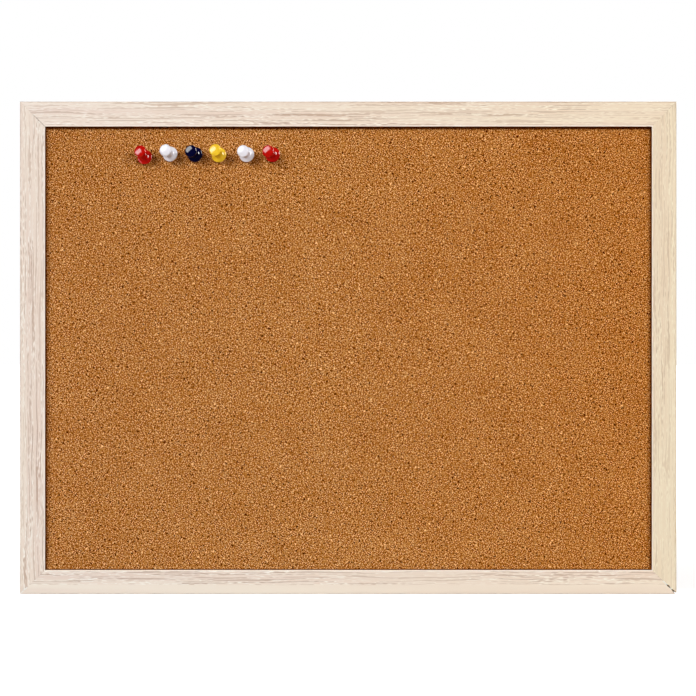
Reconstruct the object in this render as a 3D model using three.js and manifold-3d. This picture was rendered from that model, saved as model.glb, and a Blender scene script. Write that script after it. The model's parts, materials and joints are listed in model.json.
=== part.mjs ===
// A cork pin board for a wall: a mitred frame of foil-wrapped rails around a cork-faced panel,
// with push pins in the cork and two hanging rings on the back.
// Millimetres, +Z up. The front faces -Y, and the wall is the plane y = 0.
// The origin is the middle of the board's back.
import * as THREE from "three";
import { mergeVertices } from "three/addons/utils/BufferGeometryUtils.js";
import Module from "manifold-3d";

// Frame
const boardWidth = 400;
const boardHeight = 300;
const railFaceWidth = 15;
const lipWidth = 5; // how far the lip covers the edge of the panel
const lipThickness = 4;
const outerEdgeRadius = 0.4;
const lipEdgeRadius = 0.3;
const mitreGap = 0.3; // glue line between two rails, square to the mitre
const openMitre = 0.6; // how much further the bottom right mitre stands open at its outer edge

// Panel, from the front to the back
const corkThickness = 1.5;
const coreThickness = 7;
const backingThickness = 2;
const backRecess = 2; // from the wall to the backing
const panelClearance = 0.3; // between the panel's edges and the rebate

// V-nails in the back of each mitre
const nailLeg = 4.5;
const nailThickness = 0.8;
const nailDepth = 8;
const nailSink = 0.3; // below the back of the rails
const nailFirst = 2.2; // from the frame's outer edges to the first nail's corner
const nailSpacing = 3.4;
const nailWall = 1.5; // least wood between the last nail and the rebate

// Flat points that hold the panel in the rebate
const pointWidth = 6;
const pointLength = 11;
const pointTip = 3;
const pointThickness = 0.6;
const pointBite = 5; // how far a point is driven into its rail
const longRailPoints = 3;
const longRailPointSpacing = 120;
const shortRailPoints = 2;
const shortRailPointInset = 100; // from the frame's top and bottom edges

// Push pins
const flangeDiameter = 9.3;
const flangeEdgeRadius = 0.6;
const rimHeight = 1.25; // of the flange's top, where its rounded edge ends
const rimSlope = 13; // degrees
const footDiameter = 4.7;
const footHeight = 2;
const footSlope = 40; // degrees
const waistDiameter = 4.5;
const waistHeight = 3.4;
const capDiameter = 7.4;
const capThickness = 2.8;
const capEdgeRadius = 0.7;
const capCrown = 0.4;
const headHeight = 12;
const needleDiameter = 1.2;
const needleLength = 9; // below the flange
const needleTip = 2.4;
const needleRoof = 5; // plastic above the needle's upper end
const pins = [
  { colour: "red", fromLeft: 61.3, fromTop: 19.4, leanLeft: 11.5, leanUp: 16.5 },
  { colour: "white", fromLeft: 76.7, fromTop: 17.1, leanLeft: 12, leanUp: 8.5 },
  { colour: "navy", fromLeft: 91.9, fromTop: 17.3, leanLeft: 11, leanUp: 7 },
  { colour: "yellow", fromLeft: 106.5, fromTop: 17.8, leanLeft: 10.5, leanUp: 12.5 },
  { colour: "white", fromLeft: 123.4, fromTop: 17.4, leanLeft: 10.5, leanUp: 7.5 },
  { colour: "red", fromLeft: 139.4, fromTop: 17.5, leanLeft: 14, leanUp: 8 },
]; // places on the cork from the frame's inner edges, and leans in degrees

// Hangers on the back of the side rails
const hangerDrop = 55; // from the frame's top edge to the ring's bar
const ringSetback = 0.2; // from the frame's outer edge to the ring
const ringWire = 1.5;
const ringSideGap = 0.5; // between the strap and each side of the ring
const ringSide = 2.65; // straight stretch of each side
const ringCornerRadius = 1.2;
const ringButtGap = 0.4; // between the wire's two ends, inside the strap's eye
const strapWidth = 6.8;
const strapThickness = 0.8;
const strapTail = 4; // from the screw to the strap's end
const screwGap = 1.5; // between the lowered ring and the screw's head
const screwHeadDiameter = 5;
const screwHeadHeight = 1.7;
const screwShankDiameter = 2.6;
const screwLength = 9; // below the head
const screwTip = 2.5;
const driveWidth = 0.7;
const driveLength = 2.8;
const driveDepth = 0.8;

// Gap between neighbours that are cut for each other or lean on each other
const clearance = 0.3;

// Fineness of the round shapes
const edgeSegments = 3;
const headSegments = 20;
const curveSegments = 3;
const wireSides = 8;
const ringSteps = 36;
const needleSides = 12;
const screwSides = 16;
const eyeSegments = 8;
const strapEndSegments = 6;

// Worked out from the sizes above
const frameDepth = lipThickness + corkThickness + coreThickness + backingThickness + backRecess;
const rebateWall = railFaceWidth - lipWidth;
const corkFront = frameDepth - lipThickness;
const coreFront = corkFront - corkThickness;
const backingFront = coreFront - coreThickness;
const panelWidth = boardWidth - 2 * (rebateWall + panelClearance);
const panelHeight = boardHeight - 2 * (rebateWall + panelClearance);
const mitreSetback = mitreGap / Math.SQRT2;
const nailsPerMitre = 1 + Math.floor((rebateWall - nailFirst - nailThickness - nailWall) / nailSpacing);
const shortRailPointSpacing = (boardHeight - 2 * shortRailPointInset) / (shortRailPoints - 1);
const capBottom = headHeight - capThickness;
const needleSocket = headHeight - needleRoof;
const ringHalfWidth = strapWidth / 2 + ringSideGap + ringWire / 2;
const ringHeight = ringCornerRadius + ringSide + ringHalfWidth;
const eyeInnerRadius = ringWire / 2 + clearance;
const eyeOuterRadius = eyeInnerRadius + strapThickness;
const eyeSweep = Math.PI + Math.acos((strapThickness + clearance) / eyeOuterRadius - 1);
const ringLean = Math.asin((eyeOuterRadius - ringWire / 2 - clearance) / ringHeight);
const screwDrop = ringHeight + ringWire / 2 + screwGap + screwHeadDiameter / 2;
const strapLength = screwDrop + strapTail;

const xAxis = new THREE.Vector3(1, 0, 0);
const yAxis = new THREE.Vector3(0, 1, 0);
const zAxis = new THREE.Vector3(0, 0, 1);
const frontward = new THREE.Vector3(0, -1, 0);

const wasm = await Module();
wasm.setup();

const board = new THREE.Group();

function finish(color, roughness, metalness = 0) {
  return new THREE.MeshStandardMaterial({ color, roughness, metalness });
}

const railFoil = finish(0xe8d7c3, 0.55);
const cork = finish(0xb2753d, 0.9);
const softboard = finish(0xb59a72, 0.95);
const hardboard = finish(0x7d5a3a, 0.7);
const steel = finish(0x9a9c9f, 0.45, 1);
const zincPlate = finish(0xc3c6c8, 0.35, 1);
const pinPlastic = {
  red: finish(0xc8140f, 0.25),
  white: finish(0xe8e4e6, 0.25),
  navy: finish(0x0a0d46, 0.25),
  yellow: finish(0xf0cb3c, 0.25),
};

function addPiece(parent, name, geometry, material) {
  const mesh = new THREE.Mesh(geometry, material);
  mesh.name = name;
  parent.add(mesh);
  return mesh;
}

function turnTo(object, xDirection, yDirection, zDirection) {
  object.quaternion.setFromRotationMatrix(new THREE.Matrix4().makeBasis(xDirection, yDirection, zDirection));
}

// Solids for cutting: only positions, shared corners merged, and no triangle that has shrunk to a line
function toSolid(geometry) {
  const bare = geometry.clone();
  bare.deleteAttribute("normal");
  bare.deleteAttribute("uv");
  const merged = mergeVertices(bare);
  const triangles = [];
  for (let i = 0; i < merged.index.count; i += 3) {
    const corners = [merged.index.getX(i), merged.index.getX(i + 1), merged.index.getX(i + 2)];
    if (new Set(corners).size === corners.length) triangles.push(...corners);
  }
  return new wasm.Manifold(new wasm.Mesh({
    numProp: 3,
    vertProperties: Float32Array.from(merged.attributes.position.array),
    triVerts: Uint32Array.from(triangles),
  }));
}

function toGeometry(solid) {
  const { vertProperties, triVerts } = solid.getMesh();
  const geometry = new THREE.BufferGeometry();
  geometry.setAttribute("position", new THREE.BufferAttribute(vertProperties, 3));
  geometry.setIndex(new THREE.BufferAttribute(triVerts, 1));
  geometry.computeVertexNormals();
  return geometry;
}

// A cutter is a geometry in the board's frame, moved there from the frame of the piece that it makes room for
function cutterFor(piece, geometry) {
  piece.updateWorldMatrix(true, false);
  return geometry.clone().applyMatrix4(piece.matrixWorld);
}

function carve(mesh, cutters) {
  mesh.updateWorldMatrix(true, false);
  const toLocal = mesh.matrixWorld.clone().invert();
  let solid = toSolid(mesh.geometry);
  for (const cutter of cutters) {
    solid = solid.subtract(toSolid(cutter.clone().applyMatrix4(toLocal)));
  }
  mesh.geometry = toGeometry(solid);
}

// Frame rails. In a rail's own frame, x runs from the outer edge inwards, y from the back to the front,
// and z along the rail.
function railProfile() {
  const lipRadius = Math.min(lipEdgeRadius, lipThickness);
  const profile = new THREE.Shape();
  profile.moveTo(0, 0);
  profile.lineTo(rebateWall, 0);
  profile.lineTo(rebateWall, corkFront);
  profile.lineTo(railFaceWidth, corkFront);
  profile.absarc(railFaceWidth - lipRadius, frameDepth - lipRadius, lipRadius, 0, Math.PI / 2);
  profile.absarc(outerEdgeRadius, frameDepth - outerEdgeRadius, outerEdgeRadius, Math.PI / 2, Math.PI);
  return profile;
}

function railGeometry(length, farOpening) {
  const geometry = new THREE.ExtrudeGeometry(railProfile(), {
    depth: 1,
    bevelEnabled: false,
    curveSegments: edgeSegments,
  });
  const position = geometry.attributes.position;
  for (let i = 0; i < position.count; i += 1) {
    const across = position.getX(i);
    const halfLength = length / 2 - across - mitreSetback;
    const opening = farOpening * (1 - across / railFaceWidth);
    position.setZ(i, position.getZ(i) > 0 ? halfLength - opening : -halfLength);
  }
  return geometry;
}

const sides = [
  { name: "top", inward: zAxis.clone().negate(), edge: boardHeight / 2, length: boardWidth, long: true },
  { name: "bottom", inward: zAxis, edge: boardHeight / 2, length: boardWidth, long: true },
  { name: "left", inward: xAxis, edge: boardWidth / 2, length: boardHeight, long: false },
  { name: "right", inward: xAxis.clone().negate(), edge: boardWidth / 2, length: boardHeight, long: false },
];
const openedSide = "bottom"; // its far end is the mitre that stands open

const rails = {};
for (const side of sides) {
  side.holder = new THREE.Group();
  side.holder.position.copy(side.inward).multiplyScalar(-side.edge);
  turnTo(side.holder, side.inward, frontward, side.inward.clone().cross(frontward));
  board.add(side.holder);
  const geometry = railGeometry(side.length, side.name === openedSide ? openMitre : 0);
  rails[side.name] = addPiece(side.holder, `${side.name}_rail`, geometry, railFoil);
}

// Panel: cork sheet, softboard core and hardboard backing
function addLayer(name, thickness, front, material) {
  const layer = addPiece(board, name, new THREE.BoxGeometry(panelWidth, thickness, panelHeight), material);
  layer.position.y = thickness / 2 - front;
  return layer;
}

const layers = [
  addLayer("cork_sheet", corkThickness, corkFront, cork),
  addLayer("softboard_core", coreThickness, coreFront, softboard),
  addLayer("backing_panel", backingThickness, backingFront, hardboard),
];

// V-nails: two legs along the two rails, driven forwards from the back
function nailGeometry(grow, start) {
  const low = -grow;
  const inner = nailThickness + grow;
  const far = nailLeg + grow;
  const outline = new THREE.Shape([
    new THREE.Vector2(low, low),
    new THREE.Vector2(far, low),
    new THREE.Vector2(far, inner),
    new THREE.Vector2(inner, inner),
    new THREE.Vector2(inner, far),
    new THREE.Vector2(low, far),
  ]);
  const depth = nailSink + nailDepth + grow - start;
  return new THREE.ExtrudeGeometry(outline, { depth, bevelEnabled: false }).translate(0, 0, start);
}

const corners = [
  { name: "bottom_left", x: -1, z: -1 },
  { name: "top_left", x: -1, z: 1 },
  { name: "top_right", x: 1, z: 1 },
  { name: "bottom_right", x: 1, z: -1 },
]; // each is a quarter turn about Y on from the one before
const railCutters = [];
corners.forEach((corner, turn) => {
  const holder = new THREE.Group();
  holder.position.set(corner.x * boardWidth / 2, 0, corner.z * boardHeight / 2);
  holder.rotation.y = turn * Math.PI / 2;
  board.add(holder);
  for (let i = 0; i < nailsPerMitre; i += 1) {
    const nail = addPiece(holder, `v_nail_${corner.name}_${i + 1}`, nailGeometry(0, nailSink), steel);
    const inset = nailFirst + i * nailSpacing;
    nail.position.set(inset, 0, inset);
    nail.rotation.x = Math.PI / 2;
    railCutters.push(cutterFor(nail, nailGeometry(clearance, -clearance)));
  }
});

// Retaining points: a flat tongue with a sharp end in the rail and the other end behind the backing
function pointGeometry(grow) {
  const half = pointWidth / 2 + grow;
  const outline = new THREE.Shape([
    new THREE.Vector2(0, -grow),
    new THREE.Vector2(half, pointTip - grow),
    new THREE.Vector2(half, pointLength + grow),
    new THREE.Vector2(-half, pointLength + grow),
    new THREE.Vector2(-half, pointTip - grow),
  ]);
  const depth = pointThickness + 2 * grow;
  return new THREE.ExtrudeGeometry(outline, { depth, bevelEnabled: false }).translate(0, 0, -grow);
}

for (const side of sides) {
  const count = side.long ? longRailPoints : shortRailPoints;
  const spacing = side.long ? longRailPointSpacing : shortRailPointSpacing;
  for (let i = 0; i < count; i += 1) {
    const point = addPiece(side.holder, `retaining_point_${side.name}_${i + 1}`, pointGeometry(0), steel);
    const along = (i - (count - 1) / 2) * spacing;
    point.position.set(rebateWall - pointBite, backRecess - clearance - pointThickness, along);
    turnTo(point, zAxis, xAxis, yAxis);
    railCutters.push(cutterFor(point, pointGeometry(clearance)));
  }
}

// Push pins, turned about their own axis: the flange's underside is at zero and the needle points down
function headGeometry() {
  const flange = flangeDiameter / 2;
  const rim = flange - flangeEdgeRadius;
  const foot = footDiameter / 2;
  const waist = waistDiameter / 2;
  const cap = capDiameter / 2;
  const socket = needleDiameter / 2 + clearance;
  const rimRise = Math.tan(THREE.MathUtils.degToRad(rimSlope));
  const footRise = Math.tan(THREE.MathUtils.degToRad(footSlope));
  const sweep = (footHeight - rimHeight - footRise * (rim - foot)) / (rimRise - footRise); // to the slopes' crossing
  const crownEdge = headHeight - capCrown;
  const capShoulder = crownEdge - capEdgeRadius;
  const outline = new THREE.Path();
  outline.moveTo(0, needleSocket + clearance);
  outline.lineTo(socket, needleSocket + clearance);
  outline.lineTo(socket, 0);
  outline.lineTo(rim, 0);
  outline.absarc(rim, flangeEdgeRadius, flangeEdgeRadius, -Math.PI / 2, 0);
  outline.quadraticCurveTo(flange, rimHeight - rimRise * flangeEdgeRadius, rim, rimHeight);
  outline.quadraticCurveTo(rim - sweep, rimHeight + rimRise * sweep, foot, footHeight);
  outline.quadraticCurveTo(waist, footHeight + footRise * (foot - waist), waist, waistHeight);
  outline.quadraticCurveTo(waist, (2 * waistHeight + capBottom) / 3, cap - capEdgeRadius, capBottom);
  outline.quadraticCurveTo(cap, capBottom, cap, capBottom + capEdgeRadius);
  outline.lineTo(cap, capShoulder);
  outline.quadraticCurveTo(cap, crownEdge, cap - capEdgeRadius, crownEdge);
  outline.quadraticCurveTo((cap - capEdgeRadius) / 2, headHeight, 0, headHeight);
  return new THREE.LatheGeometry(outline.getPoints(curveSegments), headSegments);
}

function needleGeometry() {
  const radius = needleDiameter / 2;
  const outline = [
    new THREE.Vector2(0, -needleLength),
    new THREE.Vector2(radius, needleTip - needleLength),
    new THREE.Vector2(radius, needleSocket),
    new THREE.Vector2(0, needleSocket),
  ];
  return new THREE.LatheGeometry(outline, needleSides);
}

function needleHole() {
  const radius = needleDiameter / 2 + clearance;
  const outline = [
    new THREE.Vector2(0, -needleLength - clearance),
    new THREE.Vector2(radius, -needleLength - clearance),
    new THREE.Vector2(radius, 0),
    new THREE.Vector2(0, 0),
  ];
  return new THREE.LatheGeometry(outline, needleSides);
}

const pinHoles = pins.map((pin, i) => {
  const left = Math.tan(THREE.MathUtils.degToRad(pin.leanLeft));
  const up = Math.tan(THREE.MathUtils.degToRad(pin.leanUp));
  const outward = new THREE.Vector3(-left, -1, up).normalize();
  const tilt = outward.angleTo(frontward);
  const standOff = (clearance + (flangeDiameter / 2 - flangeEdgeRadius) * Math.sin(tilt)) / Math.cos(tilt);
  const holder = new THREE.Group();
  holder.position.set(
    railFaceWidth + pin.fromLeft - boardWidth / 2,
    -corkFront,
    boardHeight / 2 - railFaceWidth - pin.fromTop,
  );
  holder.position.addScaledVector(outward, standOff);
  holder.quaternion.setFromUnitVectors(yAxis, outward);
  board.add(holder);
  addPiece(holder, `pin_${i + 1}_head`, headGeometry(), pinPlastic[pin.colour]);
  addPiece(holder, `pin_${i + 1}_needle`, needleGeometry(), steel);
  return cutterFor(holder, needleHole());
});
for (const layer of layers) carve(layer, pinHoles);

// Hanger strap: a plate against the rail, rolled at the top into an eye for the ring's bar
function strapGeometry() {
  const start = Math.PI;
  const end = start - eyeSweep;
  const side = new THREE.Shape();
  side.moveTo(0, -strapLength);
  side.lineTo(strapThickness, -strapLength);
  side.absarc(eyeOuterRadius, 0, eyeInnerRadius, start, end, true);
  side.absarc(eyeOuterRadius, 0, eyeOuterRadius, end, start, false);
  const bent = new THREE.ExtrudeGeometry(side, {
    depth: strapWidth,
    bevelEnabled: false,
    curveSegments: eyeSegments,
  });
  bent.translate(0, 0, -strapWidth / 2);
  bent.applyMatrix4(new THREE.Matrix4().makeBasis(yAxis, zAxis, xAxis));

  const half = strapWidth / 2;
  const face = new THREE.Shape();
  face.moveTo(half, 2 * eyeOuterRadius);
  face.lineTo(-half, 2 * eyeOuterRadius);
  face.absarc(0, half - strapLength, half, Math.PI, 2 * Math.PI);
  const hole = new THREE.Path();
  hole.absarc(0, -screwDrop, screwShankDiameter / 2 + clearance, 0, 2 * Math.PI);
  face.holes.push(hole);
  const blankDepth = 4 * eyeOuterRadius;
  const blank = new THREE.ExtrudeGeometry(face, {
    depth: blankDepth,
    bevelEnabled: false,
    curveSegments: strapEndSegments,
  });
  blank.translate(0, 0, -blankDepth / 2);
  blank.rotateX(Math.PI / 2);
  return toGeometry(toSolid(bent).intersect(toSolid(blank)));
}

// Hanging ring: one round wire, bent so that its two ends meet in the eye
class FlatCurve extends THREE.Curve {
  constructor(path) {
    super();
    this.path = path;
  }

  getPoint(share) {
    const { x, y } = this.path.getPointAt(share);
    return new THREE.Vector3(x, y, 0);
  }
}

function ringGeometry() {
  const bend = ringCornerRadius;
  const straightTop = bend + ringSide;
  const wirePath = new THREE.Path();
  wirePath.moveTo(ringButtGap / 2, 0);
  wirePath.absarc(ringHalfWidth - bend, bend, bend, -Math.PI / 2, 0);
  wirePath.absarc(0, straightTop, ringHalfWidth, 0, Math.PI);
  wirePath.absarc(bend - ringHalfWidth, bend, bend, Math.PI, 1.5 * Math.PI);
  wirePath.lineTo(-ringButtGap / 2, 0);
  const section = new THREE.Shape();
  section.absarc(0, 0, ringWire / 2, 0, 2 * Math.PI);
  const geometry = new THREE.ExtrudeGeometry(section, {
    steps: ringSteps,
    curveSegments: wireSides / 2,
    extrudePath: new FlatCurve(wirePath),
  });
  return geometry.rotateX(Math.PI / 2);
}

// Hanger screw, turned about Y: the head's underside is at zero and the shank points to -Y, into the rail
function screwGeometry() {
  const shank = screwShankDiameter / 2;
  const head = screwHeadDiameter / 2;
  const outline = new THREE.Path();
  outline.moveTo(0, -screwLength);
  outline.lineTo(shank, screwTip - screwLength);
  outline.lineTo(shank, 0);
  outline.lineTo(head, 0);
  outline.quadraticCurveTo(head, screwHeadHeight, 0, screwHeadHeight);
  const turned = toSolid(new THREE.LatheGeometry(outline.getPoints(curveSegments), screwSides));
  const slot = new THREE.BoxGeometry(driveLength, 2 * driveDepth, driveWidth);
  slot.translate(0, screwHeadHeight, 0);
  const crossSlot = slot.clone().rotateY(Math.PI / 2);
  return toGeometry(turned.subtract(toSolid(slot)).subtract(toSolid(crossSlot)));
}

function screwHole() {
  const radius = screwShankDiameter / 2 + clearance;
  const outline = [
    new THREE.Vector2(0, -screwLength - clearance),
    new THREE.Vector2(radius, -screwLength - clearance),
    new THREE.Vector2(radius, 0),
    new THREE.Vector2(0, 0),
  ];
  return new THREE.LatheGeometry(outline, screwSides);
}

for (const [name, side] of [["left", -1], ["right", 1]]) {
  const hanger = new THREE.Group();
  const inset = ringHalfWidth + ringWire / 2 + ringSetback;
  hanger.position.set(side * (boardWidth / 2 - inset), 0, boardHeight / 2 - hangerDrop);
  board.add(hanger);
  addPiece(hanger, `hanger_strap_${name}`, strapGeometry(), zincPlate);
  const ring = addPiece(hanger, `hanger_ring_${name}`, ringGeometry(), zincPlate);
  ring.position.y = eyeOuterRadius;
  ring.rotation.x = ringLean;
  const screw = addPiece(hanger, `hanger_screw_${name}`, screwGeometry(), zincPlate);
  screw.position.set(0, strapThickness, -screwDrop);
  railCutters.push(cutterFor(screw, screwHole()));
}

for (const rail of Object.values(rails)) carve(rail, railCutters);

export default board;
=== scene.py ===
import json
import math

import bmesh
import bpy
from mathutils import Matrix, Quaternion, Vector


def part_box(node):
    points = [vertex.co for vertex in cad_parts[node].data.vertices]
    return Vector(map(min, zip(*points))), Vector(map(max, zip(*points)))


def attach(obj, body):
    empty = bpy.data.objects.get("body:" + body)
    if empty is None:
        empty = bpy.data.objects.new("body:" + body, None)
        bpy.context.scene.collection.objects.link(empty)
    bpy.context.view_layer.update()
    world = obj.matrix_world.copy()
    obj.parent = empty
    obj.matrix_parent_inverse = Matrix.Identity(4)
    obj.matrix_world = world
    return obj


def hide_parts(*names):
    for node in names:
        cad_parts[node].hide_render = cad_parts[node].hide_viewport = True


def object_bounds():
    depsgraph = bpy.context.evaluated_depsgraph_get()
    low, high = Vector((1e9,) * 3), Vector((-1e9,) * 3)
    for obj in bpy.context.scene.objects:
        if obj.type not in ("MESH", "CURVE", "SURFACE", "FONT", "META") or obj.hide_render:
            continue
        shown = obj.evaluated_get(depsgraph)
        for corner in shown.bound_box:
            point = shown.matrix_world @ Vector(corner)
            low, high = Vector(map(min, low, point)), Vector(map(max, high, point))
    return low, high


# Cork pin board, dressed around its solids: metres, +Z up, the front faces -Y
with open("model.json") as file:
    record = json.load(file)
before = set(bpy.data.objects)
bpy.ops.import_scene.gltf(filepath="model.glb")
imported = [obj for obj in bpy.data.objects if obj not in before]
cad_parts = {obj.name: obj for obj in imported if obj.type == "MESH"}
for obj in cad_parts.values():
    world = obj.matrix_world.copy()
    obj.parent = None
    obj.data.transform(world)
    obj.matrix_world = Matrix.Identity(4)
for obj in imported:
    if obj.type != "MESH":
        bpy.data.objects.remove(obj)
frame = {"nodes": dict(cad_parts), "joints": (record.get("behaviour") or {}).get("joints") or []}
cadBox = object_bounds()
nodes = frame["nodes"]
joints = {joint["name"]: joint for joint in frame["joints"]}
scene = bpy.context.scene
print("frame loaded:", len(nodes), "nodes")


def mm(size):
    return size / 1000


def linear(hexColour):
    shares = [int(hexColour[i:i + 2], 16) / 255 for i in (1, 3, 5)]
    return [c / 12.92 if c <= 0.04045 else ((c + 0.055) / 1.055) ** 2.4 for c in shares] + [1]


def perMetre(size):
    return 1 / mm(size)  # texture scale of a pattern whose marks are this many mm across


def setInputs(tree, node, inputs):
    for key, value in inputs.items():
        if isinstance(value, bpy.types.Node):
            value = value.outputs[0]  # a node stands for its first output
        if isinstance(value, bpy.types.NodeSocket):
            tree.links.new(value, node.inputs[key])
        else:
            node.inputs[key].default_value = value


def addNode(tree, kind, inputs=None, settings=None, stops=()):
    node = tree.nodes.new("ShaderNode" + kind)
    for name, value in (settings or {}).items():
        setattr(node, name, value)
    setInputs(tree, node, inputs or {})
    for i, (share, hexColour) in enumerate(stops):
        marks = node.color_ramp.elements
        mark = marks[i] if i < 2 else marks.new(share)
        mark.position = share
        mark.color = linear(hexColour)
    return node


def startMaterial(name):
    material = bpy.data.materials.new(name)
    material.use_nodes = True
    tree = material.node_tree
    return material, tree, tree.nodes["Principled BSDF"]


# Frame rails, in mm

rail = {
    "rebateWall": 10, "depth": 16.5, "lip": 4, "outerRadius": 0.4, "lipRadius": 0.3, "backRadius": 0.4,
    "foilTurn": 3, "lipFoil": 0.5, "foilThickness": 0.12, "arcSteps": 7, "faceStep": 0.5, "tornWidth": 0.35,
    "slotGap": 0.06, "nailThickness": 0.8, "screwHole": 2.7, "screwHoleDepth": 9.2, "holeSides": 24,
}
faceWidths = {"top": 15.2, "bottom": 14.5, "left": 15.2, "right": 14.9}
boardHalf = [1000 * side / 2 for side in (cadBox[1].x - cadBox[0].x, cadBox[1].z - cadBox[0].z)]

# Materials: marks in mm; a relief is how strong and how many mm deep, a roughness how shiny and how dull

noiseLow, noiseHigh = 0.3, 0.7  # most of a noise lies between these
toneLow, toneHigh = 0.35, 0.65  # where a noise shows its two colours in full

foilLook = {
    # width across the grain in mm, and length over width
    "line": (0.58, 60), "dash": (0.46, 8), "band": (5, 50), "calm": (8, 12),
    "dashShare": 0.45, "waver": 0.5, "waverLength": 25,
    # the print along one line: plain, the lime beside a pore, plain again, and the pore
    "print": ((0.45, "#f0ddd2"), (0.51, "#fff8f3"), (0.55, "#fff8f3"), (0.58, "#efddd1"), (0.66, "#caad9c")),
    "plain": "#f5e6db", "greyer": "#faf6f6", "paler": "#ffffff", "edgeBlur": 0.4,
    # the print fades in calm patches: from and to where in their noise, and how much of it is left
    "fading": (0.6, 0.35, 0.55),
    # along its two folds, in mm from the fold: painted shade on the outer fold, and a painted highlight, near
    # white, on the lip's fold, and how strong both are
    "outerFoldShade": 0.9, "lipFoldHighlight": (0.8, "#fff4ea"), "paintedFoldStrength": 0.8,
    "patternShift": (5, 5, 5),  # so that no two rails show the same stretch
    "roughness": (0.42, 0.56), "relief": (0.25, 0.05), "ior": 1.45,
}
# each rail is cut from another stretch of foil: strength of its grain at the left and the right of the board,
# width in mm of a plain stripe along its outer edge, tint of the painted shade on its outer fold, and its
# tints at left and right, partly its own tone and partly painted light, warmer towards the right
foilRuns = {
    "top": {"grain": (0.92, 0.8), "plainEdge": 0, "foldShade": "#f0eae4", "tints": ("#f6f8f8", "#f7f3e1")},
    "bottom": {"grain": (1.12, 0.78), "plainEdge": 5.6, "foldShade": "#fcfaf8", "tints": ("#f7fbfa", "#fbf9ee")},
    "left": {"grain": (0.9, 0.9), "plainEdge": 0, "foldShade": "#f0eae4", "tints": ("#f5f7f5", "#f5f7f5")},
    "right": {"grain": (0.62, 0.62), "plainEdge": 0, "foldShade": "#f0eae4", "tints": ("#f6f4e0", "#f6f4e0")},
}


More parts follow.
